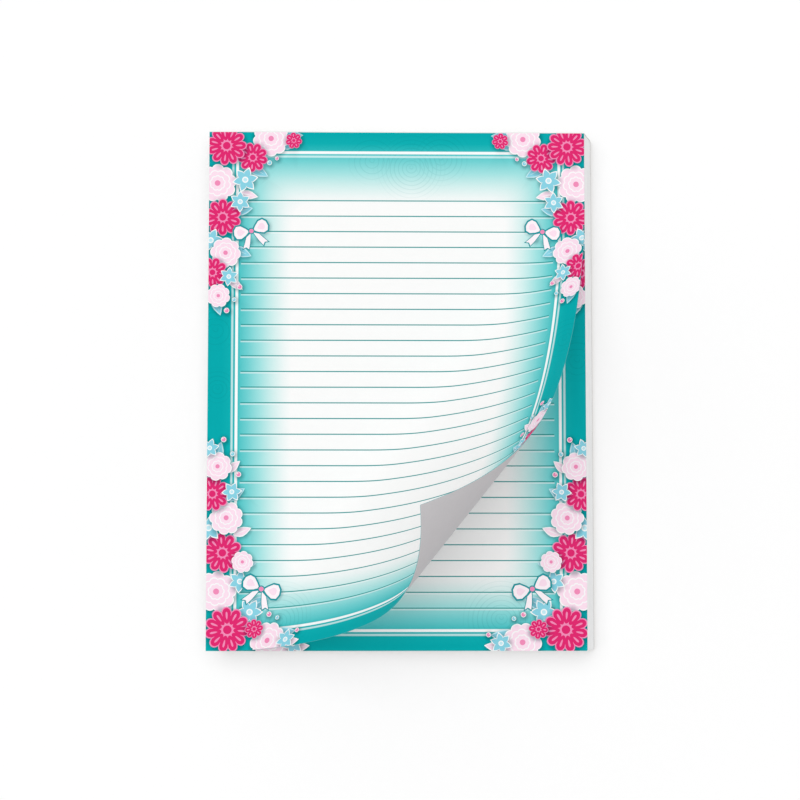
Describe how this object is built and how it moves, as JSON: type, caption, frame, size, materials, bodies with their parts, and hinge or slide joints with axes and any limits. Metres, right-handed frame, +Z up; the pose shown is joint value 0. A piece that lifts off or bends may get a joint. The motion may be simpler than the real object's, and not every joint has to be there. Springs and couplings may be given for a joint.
{
  "type": "writing pad",
  "caption": "Glued pad of ruled, decorated writing paper on a greyboard back, with the lower right corner of its top sheet lifted and rolled back.",
  "frame": {"origin": "middle of the underside of the pad, on the surface that it lies on", "axes": "+X to the right across the page, +Y up the page towards the glued edge, +Z up out of the printed face"},
  "size_m": [0.157, 0.21, 0.1105],
  "materials": {
    "greyboard": "matt uncoated board",
    "sheets": "smooth uncoated paper, cut edges",
    "printed_sheet": "smooth paper, teal border and ruled lines on a white middle",
    "padding_glue": "dried white padding glue, satin"
  },
  "bodies": {
    "root": {"backing_board": "greyboard", "page_block": "sheets", "top_sheet": "printed_sheet", "gummed_edge": "padding_glue"}
  },
  "joints": []
}
